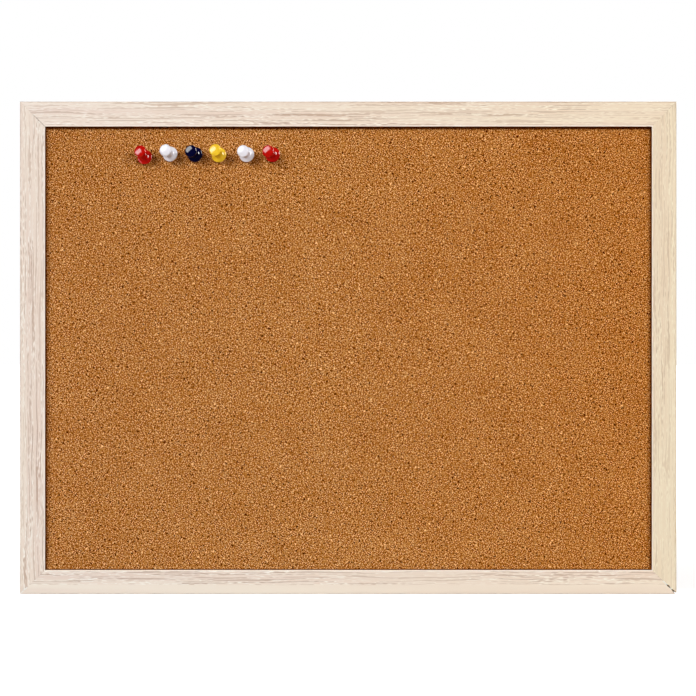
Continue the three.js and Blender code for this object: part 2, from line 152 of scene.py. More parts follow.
def foilWrappedMdf(side):
    # MDF moulding wrapped in printed limed-oak foil: grey-brown pores in long wavering lines with white lime
    # beside them, over a pinkish cream, under a satin lacquer
    look, run = foilLook, foilRuns[side]
    material, tree, surface = startMaterial("foil-wrapped MDF, " + side)
    local = addNode(tree, "TexCoord").outputs["Object"]
    place = addNode(tree, "SeparateXYZ", {0: local}).outputs
    railPlace = addNode(tree, "ObjectInfo").outputs["Location"]
    shifted = addNode(tree, "VectorMath", {0: railPlace, 1: look["patternShift"], 2: local},
                      {"operation": "MULTIPLY_ADD"})
    waver = addNode(tree, "TexNoise",
                    {"Vector": shifted, "Scale": perMetre(look["waverLength"]), "Detail": 0}).outputs[1]
    centred = addNode(tree, "VectorMath", {0: waver, 1: (0.5, 0.5, 0.5)}, {"operation": "SUBTRACT"})
    reach = 4 * mm(look["waver"])  # a noise swings about a quarter to either side
    wavering = addNode(tree, "VectorMath", {0: centred, 1: (0, reach, 0), 2: shifted},
                       {"operation": "MULTIPLY_ADD"})
    layers = {}
    for layer in ("line", "dash", "band", "calm"):
        width, stretch = look[layer]
        stretched = addNode(tree, "VectorMath", {0: wavering, 1: (1 / stretch, 1, 1)},
                            {"operation": "MULTIPLY"})
        layers[layer] = addNode(tree, "TexNoise",
                                {"Vector": stretched, "Scale": perMetre(width), "Detail": 0})
    above = addNode(tree, "Math", {0: layers["dash"], 1: 0.5}, {"operation": "SUBTRACT"})
    grain = addNode(tree, "Math", {0: above, 1: look["dashShare"], 2: layers["line"]},
                    {"operation": "MULTIPLY_ADD"})
    printed = addNode(tree, "ValToRGB", {0: grain}, stops=look["print"])
    spot = addNode(tree, "NewGeometry").outputs["Position"]
    across = addNode(tree, "SeparateXYZ", {0: spot}).outputs["X"]
    drift = addNode(tree, "MapRange", {0: across, 1: cadBox[0].x, 2: cadBox[1].x})
    leftGrain, rightGrain = run["grain"]
    printing = addNode(tree, "MapRange", {0: drift, 3: leftGrain, 4: rightGrain})
    full, faded, least = look["fading"]
    patchy = addNode(tree, "MapRange", {0: layers["calm"], 1: faded, 2: full, 3: least})
    strength = addNode(tree, "Math", {0: patchy, 1: printing}, {"operation": "MULTIPLY"})
    if run["plainEdge"]:
        edge, blur = mm(run["plainEdge"]), mm(look["edgeBlur"])
        beyond = addNode(tree, "MapRange", {0: place["Y"], 1: edge - blur, 2: edge + blur})
        strength = addNode(tree, "Math", {0: strength, 1: beyond}, {"operation": "MULTIPLY"})
    colour = addNode(tree, "Mix", {0: strength, 6: linear(look["plain"]), 7: printed},
                     {"data_type": "RGBA"}).outputs[2]
    band = addNode(tree, "ValToRGB", {0: layers["band"]},
                   stops=((toneLow, look["greyer"]), (toneHigh, look["paler"])))
    # tints partly the foil's own tone and partly painted light: warmer towards the right, the bottom rail a
    # little brighter
    toneAndLightDrift = addNode(tree, "ValToRGB", {0: drift}, stops=tuple(zip((0, 1), run["tints"])))
    for tint in (band, toneAndLightDrift):
        colour = addNode(tree, "Mix", {0: 1, 6: colour, 7: tint},
                         {"data_type": "RGBA", "blend_type": "MULTIPLY"}).outputs[2]
    fromFront = addNode(tree, "Math", {0: mm(rail["depth"]), 1: place["Z"]}, {"operation": "SUBTRACT"})
    fromLip = addNode(tree, "Math", {0: mm(faceWidths[side]), 1: place["Y"]}, {"operation": "SUBTRACT"})
    # painted shade along the outer fold, and a painted highlight, near white, along the lip's edge
    lipBreadth, lipHighlight = look["lipFoldHighlight"]
    for breadth, inwards, shade, blend in ((look["outerFoldShade"], place["Y"], run["foldShade"], "MULTIPLY"),
                                           (lipBreadth, fromLip, lipHighlight, "MIX")):
        away = addNode(tree, "Math", {0: inwards, 1: fromFront}, {"operation": "ADD"})
        paintedFold = addNode(tree, "MapRange",
                         {0: away, 1: mm(breadth), 2: mm(breadth) / 2, 4: look["paintedFoldStrength"]})
        colour = addNode(tree, "Mix", {0: paintedFold, 6: colour, 7: linear(shade)},
                         {"data_type": "RGBA", "blend_type": blend}).outputs[2]
    shiny, dull = look["roughness"]
    gloss = addNode(tree, "MapRange",
                    {0: layers["line"], 1: noiseLow, 2: noiseHigh, 3: shiny, 4: dull})
    strong, deep = look["relief"]
    bump = addNode(tree, "Bump", {"Strength": strong, "Distance": mm(deep), "Height": grain},
                   {"invert": True})
    setInputs(tree, surface, {"Base Color": colour, "Roughness": gloss, "Normal": bump, "IOR": look["ior"]})
    return material


# drawn a darker brown than plain MDF, partly its own colour and partly painted shade: the bare walls of the
# lips give a dark line of shade along the cork
mdfLook = {
    "fibre": 0.5, "mottle": 6, "dark": "#72522e", "pale": "#a88458", "roughness": 0.9, "relief": (0.4, 0.06),
}


def rawMdf():
    # sawn MDF: dense wood flour and glue, matt, with a fine furry grain and cloudy patches
    look = mdfLook
    material, tree, surface = startMaterial("raw MDF")
    local = addNode(tree, "TexCoord").outputs["Object"]
    fibre = addNode(tree, "TexNoise", {"Vector": local, "Scale": perMetre(look["fibre"]), "Detail": 4})
    mottle = addNode(tree, "TexNoise",
                     {"Vector": local, "Scale": perMetre(look["mottle"]), "Detail": 3})
    tone = addNode(tree, "Math", {0: fibre, 1: mottle}, {"operation": "ADD"})
    spread = addNode(tree, "MapRange", {0: tone, 1: 2 * toneLow, 2: 2 * toneHigh})
    colour = addNode(tree, "ValToRGB", {0: spread}, stops=((0, look["dark"]), (1, look["pale"])))
    strong, deep = look["relief"]
    bump = addNode(tree, "Bump", {"Strength": strong, "Distance": mm(deep), "Height": fibre})
    setInputs(tree, surface, {"Base Color": colour, "Roughness": look["roughness"], "Normal": bump})
    return material


paperLook = {"fibre": 0.25, "dark": "#e9e6e0", "pale": "#fbfaf7", "roughness": 0.95, "relief": (0.4, 0.05)}


def tornPaper():
    # the white decor paper of the foil, torn open by the saw: fibrous and matt
    look = paperLook
    material, tree, surface = startMaterial("torn decor paper")
    local = addNode(tree, "TexCoord").outputs["Object"]
    fibre = addNode(tree, "TexNoise", {"Vector": local, "Scale": perMetre(look["fibre"]), "Detail": 3})
    colour = addNode(tree, "ValToRGB", {0: fibre},
                     stops=((toneLow, look["dark"]), (toneHigh, look["pale"])))
    strong, deep = look["relief"]
    bump = addNode(tree, "Bump", {"Strength": strong, "Distance": mm(deep), "Height": fibre})
    setInputs(tree, surface, {"Base Color": colour, "Roughness": look["roughness"], "Normal": bump})
    return material


corkLook = {
    "granule": 0.62, "flake": 0.45, "patch": 26, "speck": 1.2, "speckWarp": 0.5,
    "granuleShare": 1.36, "patchShare": 0.05, "flakeShare": 0.16,
    "slant": (-90, 0, 31),
    "tones": ("#4a0700", "#6d2700", "#8f4a06", "#b06e28", "#d0924f", "#efb67b", "#ffdaaa"),
    # from clean cork to a crumb of bark, with a tan stain round it
    "bark": ((0.735, "#ffffff"), (0.79, "#703800"), (0.765, "#ab841d")),
    # pale chips: where they begin in the same noise and where they are full
    "chip": "#ffd092", "chipNoise": (0.215, 0.15),
    # painted light over the sheet: cooler and darker at the left, brightest in the middle, warmer at the
    # right, a little darker at the top; the middle's share of the way from left to right is last
    "left": "#f6f4f6", "middle": "#fcfcfc", "right": "#faefdb", "top": "#faf7f1", "bottom": "#ffffff",
    "midway": 0.45,
    # painted shade below the lip: how far from it, in mm, the cork is darkened in full and how far it is left
    # as it is; widest under the top lip, narrowest above the bottom one
    "paintedLipShade": "#9e735b",
    "lipShadeReach": {"left": (0.4, 1), "right": (0.4, 1), "bottom": (0.1, 0.7), "top": (0.8, 1.6)},
    "roughness": 0.88, "relief": (0.5, 0.12),
}


def agglomeratedCork():
    # ground cork pressed with resin and sliced into sheet: granules of every brown, here and there a nearly
    # black bark crumb or a pale chip, and pits between the granules; matt. Painted light makes it a little
    # warmer towards the right, brighter in the middle and darker at the top, and painted shade darkens it
    # along the lips
    look = corkLook
    material, tree, surface = startMaterial("agglomerated cork")
    local = addNode(tree, "TexCoord").outputs["Object"]
    slant = [math.radians(angle) for angle in look["slant"]]
    slanted = addNode(tree, "Mapping", {"Vector": local, "Rotation": slant})
    levels = {}
    for size in ("granule", "patch"):
        scale = perMetre(look[size])
        levels[size] = addNode(tree, "TexNoise", {"Vector": slanted, "Scale": scale, "Detail": 0},
                               {"noise_dimensions": "2D"})
    flakes = addNode(tree, "TexVoronoi", {"Vector": slanted, "Scale": perMetre(look["flake"])},
                     {"voronoi_dimensions": "2D"}).outputs["Color"]
    levels["flake"] = addNode(tree, "SeparateColor", {0: flakes})
    tone = 0.5
    for size, level in levels.items():
        above = addNode(tree, "Math", {0: level, 1: 0.5}, {"operation": "SUBTRACT"})
        tone = addNode(tree, "Math", {0: above, 1: look[size + "Share"], 2: tone},
                       {"operation": "MULTIPLY_ADD"})
    last = len(look["tones"]) - 1
    granules = addNode(tree, "ValToRGB", {0: tone},
                       stops=[(i / last, shade) for i, shade in enumerate(look["tones"])])
    speck = addNode(tree, "TexNoise", {
        "Vector": slanted, "Scale": perMetre(look["speck"]), "Detail": 0, "Distortion": look["speckWarp"]},
        {"noise_dimensions": "2D"})
    bark = addNode(tree, "ValToRGB", {0: speck}, stops=look["bark"])
    barked = addNode(tree, "Mix", {0: 1, 6: granules, 7: bark},
                     {"data_type": "RGBA", "blend_type": "MULTIPLY"}).outputs[2]
    chipStart, chipFull = look["chipNoise"]
    chips = addNode(tree, "MapRange", {0: speck, 1: chipStart, 2: chipFull})
    colour = addNode(tree, "Mix", {0: chips, 6: barked, 7: linear(look["chip"])},
                     {"data_type": "RGBA"}).outputs[2]
    place = addNode(tree, "SeparateXYZ", {0: local}).outputs
    # painted light: cooler and darker at the left, brightest in the middle, warmer at the right, darker
    # towards the top
    for way, low, high, shades in (("X", cadBox[0].x, cadBox[1].x, ("left", "right", "middle")),
                                   ("Z", cadBox[0].z, cadBox[1].z, ("bottom", "top"))):
        drift = addNode(tree, "MapRange", {0: place[way], 1: low, 2: high})
        stops = [(share, look[shade]) for share, shade in zip((0, 1, look["midway"]), shades)]
        toneAndLightDrift = addNode(tree, "ValToRGB", {0: drift}, stops=stops)
        colour = addNode(tree, "Mix", {0: 1, 6: colour, 7: toneAndLightDrift},
                         {"data_type": "RGBA", "blend_type": "MULTIPLY"}).outputs[2]
    # painted shade: the cork is darkened towards each lip, most under the top one and least above the bottom
    # one
    lipShaded = 0
    halfWidth, halfHeight = boardHalf
    for side, way, sign, half in (("left", "X", 1, halfWidth), ("right", "X", -1, halfWidth),
                                  ("bottom", "Z", 1, halfHeight), ("top", "Z", -1, halfHeight)):
        fromLip = addNode(tree, "Math", {0: place[way], 1: sign, 2: mm(half - faceWidths[side])},
                          {"operation": "MULTIPLY_ADD"})
        full, unshaded = look["lipShadeReach"][side]
        paintedLipShade = addNode(tree, "MapRange", {0: fromLip, 1: mm(unshaded), 2: mm(full)})
        lipShaded = addNode(tree, "Math", {0: paintedLipShade, 1: lipShaded}, {"operation": "MAXIMUM"})
    colour = addNode(tree, "Mix", {0: lipShaded, 6: colour, 7: linear(look["paintedLipShade"])},
                     {"data_type": "RGBA", "blend_type": "MULTIPLY"}).outputs[2]
    strong, deep = look["relief"]
    bump = addNode(tree, "Bump", {"Strength": strong, "Distance": mm(deep), "Height": tone})
    setInputs(tree, surface, {
        "Base Color": colour, "Roughness": look["roughness"], "Normal": bump, "Specular IOR Level": 0})
    return material


softboardLook = {
    "fibre": 0.7, "fibreWarp": 1, "shive": 3, "dark": "#8d744f", "pale": "#c8b088",
    "roughness": 0.95, "relief": (0.6, 0.3),
}


def pressedSoftboard():
    # wood-fibre insulating board, pressed wet: loose straw-coloured fibres and darker shives, quite matt
    look = softboardLook
    material, tree, surface = startMaterial("pressed softboard")
    local = addNode(tree, "TexCoord").outputs["Object"]
    fibre = addNode(tree, "TexNoise", {
        "Vector": local, "Scale": perMetre(look["fibre"]), "Detail": 5, "Distortion": look["fibreWarp"]})
    colour = addNode(tree, "ValToRGB", {0: fibre},
                     stops=((toneLow, look["dark"]), (toneHigh, look["pale"])))
    shive = addNode(tree, "TexNoise", {"Vector": local, "Scale": perMetre(look["shive"]), "Detail": 2})
    strong, deep = look["relief"]
    bump = addNode(tree, "Bump", {"Strength": strong, "Distance": mm(deep), "Height": shive})
    setInputs(tree, surface, {"Base Color": colour, "Roughness": look["roughness"], "Normal": bump})
    return material


hardboardLook = {
    "fleck": 0.9, "fleckStretch": 4, "fleckWarp": 0.6, "cloud": 28, "cloudShare": 0.5,
    "dark": "#5c3f27", "mid": "#7d5a3a", "pale": "#96714c", "tones": (0.9, 1.6),
    "roughness": (0.5, 0.68), "relief": (0.2, 0.06),
}


def pressedHardboard():
    # hardboard, hot-pressed on a polished plate: brown, smooth and faintly shiny, with short fibre flecks
    look = hardboardLook
    material, tree, surface = startMaterial("pressed hardboard")
    local = addNode(tree, "TexCoord").outputs["Object"]
    flecks = []
    for direction in ((1 / look["fleckStretch"], 1, 1), (1, 1, 1 / look["fleckStretch"])):
        lying = addNode(tree, "VectorMath", {0: local, 1: direction}, {"operation": "MULTIPLY"})
        flecks.append(addNode(tree, "TexNoise", {
            "Vector": lying, "Scale": perMetre(look["fleck"]), "Detail": 3,
            "Distortion": look["fleckWarp"]}))
    fleck = addNode(tree, "Math", {0: flecks[0], 1: flecks[1]}, {"operation": "ADD"})
    cloud = addNode(tree, "TexNoise", {"Vector": local, "Scale": perMetre(look["cloud"]), "Detail": 3})
    tone = addNode(tree, "Math", {0: cloud, 1: look["cloudShare"], 2: fleck},
                   {"operation": "MULTIPLY_ADD"})
    darkest, palest = look["tones"]
    spread = addNode(tree, "MapRange", {0: tone, 1: darkest, 2: palest})
    colour = addNode(tree, "ValToRGB", {0: spread},
                     stops=((0, look["dark"]), (1, look["pale"]), (0.5, look["mid"])))
    shiny, dull = look["roughness"]
    gloss = addNode(tree, "MapRange", {0: cloud, 1: noiseLow, 2: noiseHigh, 3: shiny, 4: dull})
    strong, deep = look["relief"]
    bump = addNode(tree, "Bump", {"Strength": strong, "Distance": mm(deep), "Height": fleck})
    setInputs(tree, surface, {"Base Color": colour, "Roughness": gloss, "Normal": bump})
    return material


def metalFinish(name, look):
    # both steel finishes; the scratches run all ways and are drawn coarser than life, so that they show
    material, tree, surface = startMaterial(name)
    local = addNode(tree, "TexCoord").outputs["Object"]
    cloud = addNode(tree, "TexNoise", {"Vector": local, "Scale": perMetre(look["cloud"]), "Detail": 3})
    scratch = addNode(tree, "TexNoise", {
        "Vector": local, "Scale": perMetre(look["scratch"]), "Detail": 2, "Distortion": look["warp"]})
    colour = addNode(tree, "ValToRGB", {0: cloud},
                     stops=((toneLow, look["dark"]), (toneHigh, look["pale"])))
    shiny, dull = look["roughness"]
    gloss = addNode(tree, "MapRange", {0: scratch, 1: noiseLow, 2: noiseHigh, 3: shiny, 4: dull})
    strong, deep = look["relief"]
    bump = addNode(tree, "Bump", {"Strength": strong, "Distance": mm(deep), "Height": scratch})
    setInputs(tree, surface, {"Base Color": colour, "Roughness": gloss, "Normal": bump, "Metallic": 1})
    return material


# cold-drawn and stamped steel, unplated: grey with a dull shine
drawnSteelLook = {
    "cloud": 2.5, "scratch": 0.3, "warp": 3, "dark": "#85878a", "pale": "#a9abae",
    "roughness": (0.32, 0.5), "relief": (0.15, 0.03),
}
# bright zinc over steel: a paler, bluish silver with a cloudy, semi-bright shine
zincPlateLook = {
    "cloud": 1.8, "scratch": 0.35, "warp": 3, "dark": "#b3b8bb", "pale": "#d6d9d8",
    "roughness": (0.22, 0.4), "relief": (0.15, 0.03),
}

pinColours = {
    "red": ("#b20a02", "#c21007"), "white": ("#e2dfea", "#e9e6ee"),
    "navy": ("#00001e", "#010230"), "yellow": ("#eebd22", "#f6cc36"),
}
plasticLook = {
    "swirl": 3.5, "swirlWarp": 1.5, "skin": 0.5,
    "roughness": (0.05, 0.1), "relief": (0.06, 0.02), "ior": 1.57,
}


def mouldedPolystyrene(colourName):
    # injection-moulded polystyrene from a polished tool: glossy, a faint swirl of pigment and a soft skin
    look = plasticLook
    deepShade, lightShade = pinColours[colourName]
    material, tree, surface = startMaterial("moulded polystyrene, " + colourName)
    local = addNode(tree, "TexCoord").outputs["Object"]
    swirl = addNode(tree, "TexNoise", {
        "Vector": local, "Scale": perMetre(look["swirl"]), "Detail": 3, "Distortion": look["swirlWarp"]})
    skin = addNode(tree, "TexNoise", {"Vector": local, "Scale": perMetre(look["skin"]), "Detail": 2})
    colour = addNode(tree, "ValToRGB", {0: swirl}, stops=((toneLow, deepShade), (toneHigh, lightShade)))
    shiny, dull = look["roughness"]
    gloss = addNode(tree, "MapRange", {0: skin, 1: noiseLow, 2: noiseHigh, 3: shiny, 4: dull})
    strong, deep = look["relief"]
    bump = addNode(tree, "Bump", {"Strength": strong, "Distance": mm(deep), "Height": skin})
    setInputs(tree, surface, {"Base Color": colour, "Roughness": gloss, "Normal": bump, "IOR": look["ior"]})
    return material


foils = {side: foilWrappedMdf(side) for side in foilRuns}
mdf = rawMdf()
paper = tornPaper()
cork = agglomeratedCork()
softboard = pressedSoftboard()
hardboard = pressedHardboard()
drawnSteel = metalFinish("drawn steel", drawnSteelLook)
zincPlate = metalFinish("zinc-plated steel", zincPlateLook)
plastics = {name: mouldedPolystyrene(name) for name in pinColours}
print("materials made:", len(bpy.data.materials))


# Mesh tools: outlines in mm, meshes in metres

tiny = 1e-6  # closer points are one
overcut = 1  # mm that a cut starts outside its piece
fromBack = Matrix.Rotation(math.radians(90), 4, "X")  # a prism's z runs forwards, its y is the board's z


def arc(centre, radius, start, end, steps):
    turns = [math.radians(start + (end - start) * i / steps) for i in range(steps + 1)]
    return [(centre[0] + radius * math.cos(t), centre[1] + radius * math.sin(t)) for t in turns]


def circle(centre, radius, count):
    turns = [2 * math.pi * k / count for k in range(count)]
    return [(centre[0] + radius * math.cos(t), centre[1] + radius * math.sin(t)) for t in turns]


def bend(start, control, end, steps):
    points = []
    for i in range(steps + 1):
        t = i / steps
        a, b, c = (1 - t) ** 2, 2 * t * (1 - t), t * t
        points.append(tuple(a * p + b * q + c * r for p, q, r in zip(start, control, end)))
    return points


def joined(*runs):
    # runs of points, one after another, without doubled points
    points = []
    for run in runs:
        for point in run:
            if not points or math.dist(point, points[-1]) > tiny:
                points.append(point)
    return points


def addPrism(bm, outline, low, high, place=Matrix.Identity(4), finish=0):
    # a closed prism: the outline is in the place's x and y, and its ends are at z = low and z = high
    ends = [[bm.verts.new(place @ Vector((mm(x), mm(y), mm(z)))) for x, y in outline] for z in (low, high)]
    count = len(outline)
    faces = [bm.faces.new(ends[0][::-1]), bm.faces.new(ends[1])]
    for i in range(count):
        n = (i + 1) % count
        faces.append(bm.faces.new((ends[0][i], ends[0][n], ends[1][n], ends[1][i])))
    for face in faces:
        face.material_index = finish


def joinRings(bm, first, second):
    # a band of faces between two rings; a ring of one point is the tip of a cone
    count = max(len(first), len(second))
    for k in range(count):
        n = k + 1
        corners = (first[k % len(first)], first[n % len(first)],
                   second[n % len(second)], second[k % len(second)])
        bm.faces.new(list(dict.fromkeys(corners)))


def turned(outline, sides):
    # outline is (radius, height), from the axis to the axis, going up the outside
    bm = bmesh.new()
    rings = []
    for radius, height in outline:
        ring = circle((0, 0), radius, sides if radius > tiny else 1)
        rings.append([bm.verts.new((mm(x), mm(y), mm(height))) for x, y in ring])
    for lower, upper in zip(rings, rings[1:]):
        joinRings(bm, lower, upper)
    return bm


def makeObject(name, bm, materials, place=Matrix.Identity(4)):
    bmesh.ops.recalc_face_normals(bm, faces=bm.faces)
    mesh = bpy.data.meshes.new(name)
    bm.to_mesh(mesh)
    bm.free()
    for material in materials:
        mesh.materials.append(material)
    piece = bpy.data.objects.new(name, mesh)
    scene.collection.objects.link(piece)
    piece.matrix_world = place
    return piece


def combine(piece, tool, operation):
    # applies a boolean with the tool's mesh, which is then removed
    bpy.context.view_layer.update()
    modifier = piece.modifiers.new("combine", "BOOLEAN")
    modifier.operation = operation
    modifier.solver = "EXACT"
    modifier.object = tool
    depsgraph = bpy.context.evaluated_depsgraph_get()
    mesh = bpy.data.meshes.new_from_object(piece.evaluated_get(depsgraph))
    piece.modifiers.clear()
    piece.data = mesh
    bpy.data.objects.remove(tool)


def dress(piece, body, node, sharpAngle=35):
    piece.data.shade_smooth()
    piece.data.set_sharp_from_angle(angle=math.radians(sharpAngle))
    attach(piece, body)
    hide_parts(node)


def easeEdges(piece, width, sharpAngle=40):
    bevel = piece.modifiers.new("eased edges", "BEVEL")
    bevel.width = mm(width)
    bevel.segments = 2
    bevel.limit_method = "ANGLE"
    bevel.angle_limit = math.radians(sharpAngle)


def coat(piece, material):
    piece.data.materials.clear()
    piece.data.materials.append(material)


# Frame rails: foil all round the outside, its edge turned onto the back, raw MDF behind and at the mitres

# where each mitre stands open at the front: from and to, in mm from the outer edge, and how wide it is
mitres = {
    "top_left": [(7.5, 17, 0.18)], "top_right": [], "bottom_left": [],
    "bottom_right": [(-1.2, 2.9, 1.0), (3.6, 5.6, 0.9)],
}
tightMitre = 0.04
# where the saw has torn the foil's white paper beside a mitre
tornFoil = {"bottom_left": [(0.5, 4)], "bottom_right": [(2.6, 4), (5.4, 8)]}
# name, inward direction, its two mitres at the start and the end of its run
sides = (
    ("top", Vector((0, 0, -1)), "top_right", "top_left"),
    ("bottom", Vector((0, 0, 1)), "bottom_left", "bottom_right"),
    ("left", Vector((1, 0, 0)), "top_left", "bottom_left"),
    ("right", Vector((-1, 0, 0)), "bottom_right", "top_right"),
)
frontward = Vector((0, -1, 0))
foilFinish, rawFinish, tornFinish = range(3)  # a rail's material slots
railSharpAngle = 25


def railOutline(face):
    # (across from the outer edge, depth from the back), with the finish of the run that follows each point
    r = rail
    wall, depth = r["rebateWall"], r["depth"]
    lipBack = depth - r["lip"]
    steps = r["arcSteps"]
    thin = r["foilThickness"]
    rawBack = [(r["foilTurn"], thin), (wall, thin), (wall, lipBack), (face, lipBack)]
    lipEdge = arc((face - r["lipRadius"], depth - r["lipRadius"]), r["lipRadius"], 0, 90, steps)
    faceRun = [(i * r["faceStep"], depth) for i in range(int(face / r["faceStep"]) - 1, 1, -1)]
    outerEdge = arc((r["outerRadius"], depth - r["outerRadius"]), r["outerRadius"], 90, 180, steps)
    backEdge = arc((r["backRadius"], r["backRadius"]), r["backRadius"], 180, 270, steps)
    # the foil covers only the lipFoil mm of the lip's inner wall nearest the face; the rest of that wall is
    # bare, dark MDF, a line of painted shade along the cork
    lipStart, turnEnd = (face, depth - r["lipFoil"]), (r["foilTurn"], 0)
    foilRun = joined([lipStart], lipEdge, faceRun, outerEdge, backEdge, [turnEnd])
    return [(point, rawFinish) for point in rawBack] + [(point, foilFinish) for point in foilRun]


def mitreGap(corner, across, depth):
    # an opening is lens-shaped along the mitre and closes towards the back
    gap = tightMitre
    for start, end, width in mitres[corner]:
        offset = (2 * across - start - end) / (end - start)
        gap += width * math.sqrt(max(0, 1 - offset * offset)) * (depth / rail["depth"]) ** 2
    return gap


def isTorn(corner, point):
    across, depth = point
    return depth == rail["depth"] and any(start <= across <= end for start, end in tornFoil.get(corner, []))


def railMesh(name, length, startMitre, endMitre):
    bm = bmesh.new()
    outline = railOutline(faceWidths[name])
    count = len(outline)
    rings = []
    for sign, corner in ((-1, startMitre), (1, endMitre)):
        neighbour = corner.replace(name, "").strip("_")
        slant = faceWidths[neighbour] / faceWidths[name]
        pair = []
        for inset in (0, rail["tornWidth"]):
            ring = []
            for (across, depth), _ in outline:
                gap = mitreGap(corner, across, depth) / math.sqrt(2)
                halfLength = length / 2 - across * slant - gap - inset
                ring.append(bm.verts.new((mm(sign * halfLength), mm(across), mm(depth))))
            pair.append(ring)
        bm.faces.new(pair[0]).material_index = rawFinish
        rings += pair if sign < 0 else pair[::-1]
    for first, second, corner in zip(rings, rings[1:], (startMitre, None, endMitre)):
        for i, (point, finish) in enumerate(outline):
            n = (i + 1) % count
            side = bm.faces.new((first[i], first[n], second[n], second[i]))
            side.material_index = tornFinish if isTorn(corner, point) else finish
    return bm


def railSlots(name):
    # slots of the V-nails and retaining points, and the hanger screw's hole, for one rail
    bm = bmesh.new()
    grow = rail["slotGap"]
    for node in nodes:
        low, high = (corner * 1000 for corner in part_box(node))
        if node.startswith("v_nail_") and name in node:
            signX = 1 if "left" in node else -1
            signZ = 1 if "bottom" in node else -1
            x = low.x if signX > 0 else high.x
            z = low.z if signZ > 0 else high.z
            leg = high.x - low.x + grow
            wall = rail["nailThickness"] + grow
            elbow = [(-grow, -grow), (leg, -grow), (leg, wall), (wall, wall), (wall, leg), (-grow, leg)]
            slot = [(x + signX * u, z + signZ * v) for u, v in elbow]
            addPrism(bm, slot, -overcut, grow - low.y, fromBack, rawFinish)
        elif node.startswith("retaining_point_" + name):
            slot = [(low.x - grow, low.z - grow), (high.x + grow, low.z - grow),
                    (high.x + grow, high.z + grow), (low.x - grow, high.z + grow)]
            addPrism(bm, slot, -high.y - grow, grow - low.y, fromBack, rawFinish)
        elif node == "hanger_screw_" + name:
            middle = (low + high) / 2
            hole = circle((middle.x, middle.z), rail["screwHole"] / 2, rail["holeSides"])
            addPrism(bm, hole, -overcut, rail["screwHoleDepth"], fromBack, rawFinish)
    return makeObject("slots", bm, (foils[name], mdf, paper))


for name, inward, startMitre, endMitre in sides:
    node = name + "_rail"
    low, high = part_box(node)
    along = inward.cross(frontward)
    outerEdge = max(corner.dot(-inward) for corner in (low, high))
    length = 1000 * (cadBox[1] - cadBox[0]).dot(Vector([abs(c) for c in along]))
    axes = Matrix((along, inward, frontward)).transposed().to_4x4()
    place = Matrix.Translation(-inward * outerEdge) @ axes
    bm = railMesh(name, length, startMitre, endMitre)
    piece = makeObject(name + "Rail", bm, (foils[name], mdf, paper), place)
    combine(piece, railSlots(name), "DIFFERENCE")
    dress(piece, "board", node, railSharpAngle)
print("frame rails made")

# Panel layers and driven steel: the solids have the right shape, so they only get their finish

steelEdge = 0.1  # mm
coat(nodes["cork_sheet"], cork)
coat(nodes["softboard_core"], softboard)
coat(nodes["backing_panel"], hardboard)
for node, solid in nodes.items():
    if node.startswith(("v_nail_", "retaining_point_")):
        coat(solid, drawnSteel)
        easeEdges(solid, steelEdge)
print("panel layers and driven steel dressed")

# Push pins, turned about their own axis: the flange's underside is at zero and the needle points down

roundSharpAngle = 60
pin = {
    "flange": 9.3, "flangeEdge": 0.6, "rim": 1.25, "rimSlope": 13,
    "foot": 4.7, "footHeight": 2, "footSlope": 40, "waist": 4.5, "waistHeight": 3.4,
    "cap": 7.4, "capThickness": 2.8, "capEdge": 0.7, "capTaper": 0.35, "crown": 0.35,
    "height": 12, "socket": 1.3,
    "needle": 1.2, "needleLength": 9, "needleRoof": 5, "roofGap": 0.05, "pointRadius": 0.06,
    "needleTip": 2.4, "tipShoulder": 0.8,  # length of the tip, and the share at which it bends into the shank
    "sides": 96, "needleSides": 40, "steps": 10, "pointSteps": 4, "tipSteps": 8,
    "colours": ("red", "white", "navy", "yellow", "white", "red"),
}


def crossing(first, firstSlope, second, secondSlope):
    # where two slopes meet, both given as rise per mm inwards
    run = (second[1] - first[1] - secondSlope * (first[0] - second[0])) / (firstSlope - secondSlope)
    return first[0] - run, first[1] + firstSlope * run


def pinHead():
    p = pin
    flange, foot, waist, cap, socket = (p[key] / 2 for key in ("flange", "foot", "waist", "cap", "socket"))
    edge, capEdge, steps = p["flangeEdge"], p["capEdge"], p["steps"]
    top, capBottom = p["height"], p["height"] - p["capThickness"]
    roof, crownEdge = top - p["needleRoof"], top - p["crown"]
    # where the crown's slope, drawn on, meets the cap's side
    shoulder = crownEdge - 2 * p["crown"] * capEdge / (cap - capEdge)
    rimSlope, footSlope = (math.tan(math.radians(p[key])) for key in ("rimSlope", "footSlope"))
    rimTop, footTop, narrow = (flange - edge, p["rim"]), (foot, p["footHeight"]), (waist, p["waistHeight"])
    capFoot = cap - p["capTaper"]
    neck = (capFoot - capEdge, capBottom)
    # the flange rises ever more steeply to the foot of the waist, which widens again below the cap
    outline = joined(
        [(0, roof), (socket, roof), (socket, 0)],
        arc((flange - edge, edge), edge, -90, 0, steps),
        bend((flange, edge), (flange, p["rim"] - rimSlope * edge), rimTop, steps),
        bend(rimTop, crossing(rimTop, rimSlope, footTop, footSlope), footTop, 2 * steps),
        bend(footTop, (waist, p["footHeight"] + footSlope * (foot - waist)), narrow, steps),
        bend(narrow, (waist, (2 * p["waistHeight"] + capBottom) / 3), neck, 2 * steps),
        bend(neck, (capFoot, capBottom), (capFoot, capBottom + capEdge), steps),
        bend((cap, crownEdge - capEdge), (cap, shoulder), (cap - capEdge, crownEdge), steps),
        bend((cap - capEdge, crownEdge), ((cap - capEdge) / 2, top), (0, top), steps))
    return turned(outline, p["sides"])


